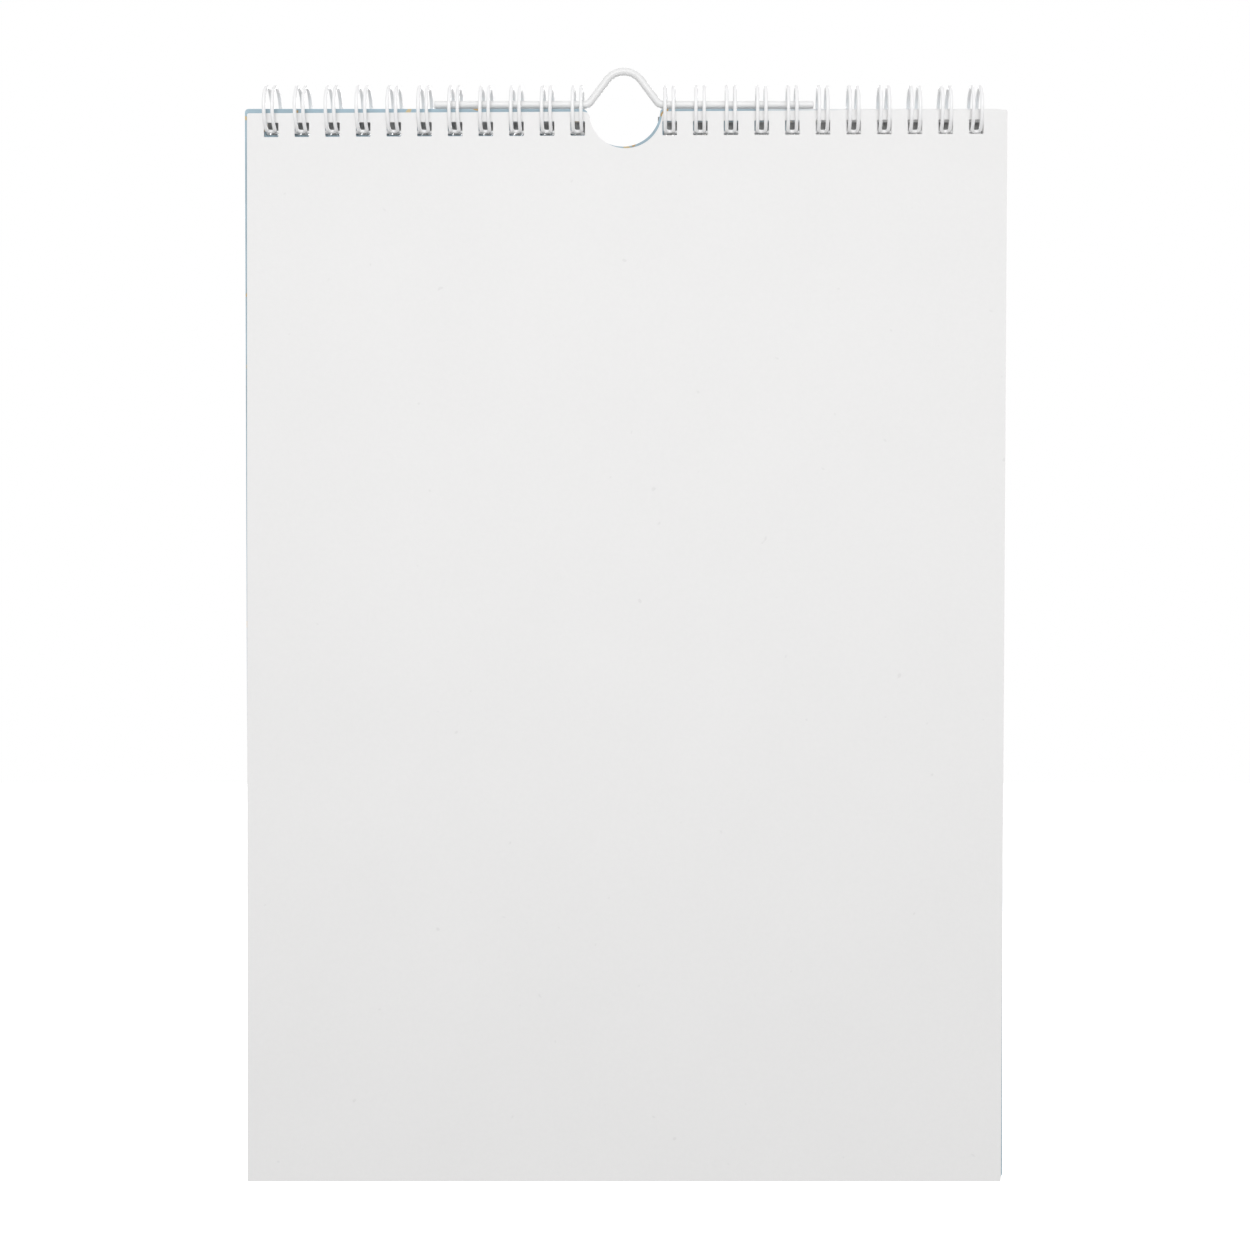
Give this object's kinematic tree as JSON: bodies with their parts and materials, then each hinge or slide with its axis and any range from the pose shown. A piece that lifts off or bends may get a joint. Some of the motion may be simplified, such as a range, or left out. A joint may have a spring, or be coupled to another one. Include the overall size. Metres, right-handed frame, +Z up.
{
  "type": "wall calendar",
  "caption": "Upright hanging wall calendar: card back board, page block and title leaf bound along the top by twin-loop wire combs, on a wire hanger that bows over a thumb cut.",
  "frame": {"origin": "the nail point: the underside of the hanger's crown, on the hanger's middle plane", "axes": "+Z up, +X along the bound edge to the right seen from the wall side, -Y towards the wall, +Y into the room"},
  "size_m": [0.2109, 0.0136, 0.3094],
  "materials": {
    "white_card": "matte white card with a faint tooth",
    "printed_paper": "matte paper, light blue with sparse ochre marks, white where cut",
    "cover_paper": "silk paper, light blue with sparse ochre marks",
    "coated_wire": "white nylon coat, slightly glossy",
    "coated_hanger": "white nylon coat, satin"
  },
  "bodies": {
    "hanger": {"hanger": "coated_hanger"},
    "binding": {"wire_left": "coated_wire", "wire_right": "coated_wire", "page_block": "printed_paper"},
    "board": {"back_board": "white_card"},
    "cover": {"front_cover": "cover_paper"}
  },
  "joints": [
    {"name": "hanger_swing", "type": "hinge", "parent": "hanger", "child": "binding", "pos_m": [0, 0, -0.0081], "axis": [1, 0, 0], "range_deg": [-85, 85]},
    {"name": "board_turn", "type": "hinge", "parent": "binding", "child": "board", "pos_m": [0, -0.0017, -0.0093], "axis": [1, 0, 0], "range_deg": [-170, 0]},
    {"name": "cover_turn", "type": "hinge", "parent": "binding", "child": "cover", "pos_m": [0, 0.0021, -0.0093], "axis": [1, 0, 0], "range_deg": [0, 170]}
  ]
}
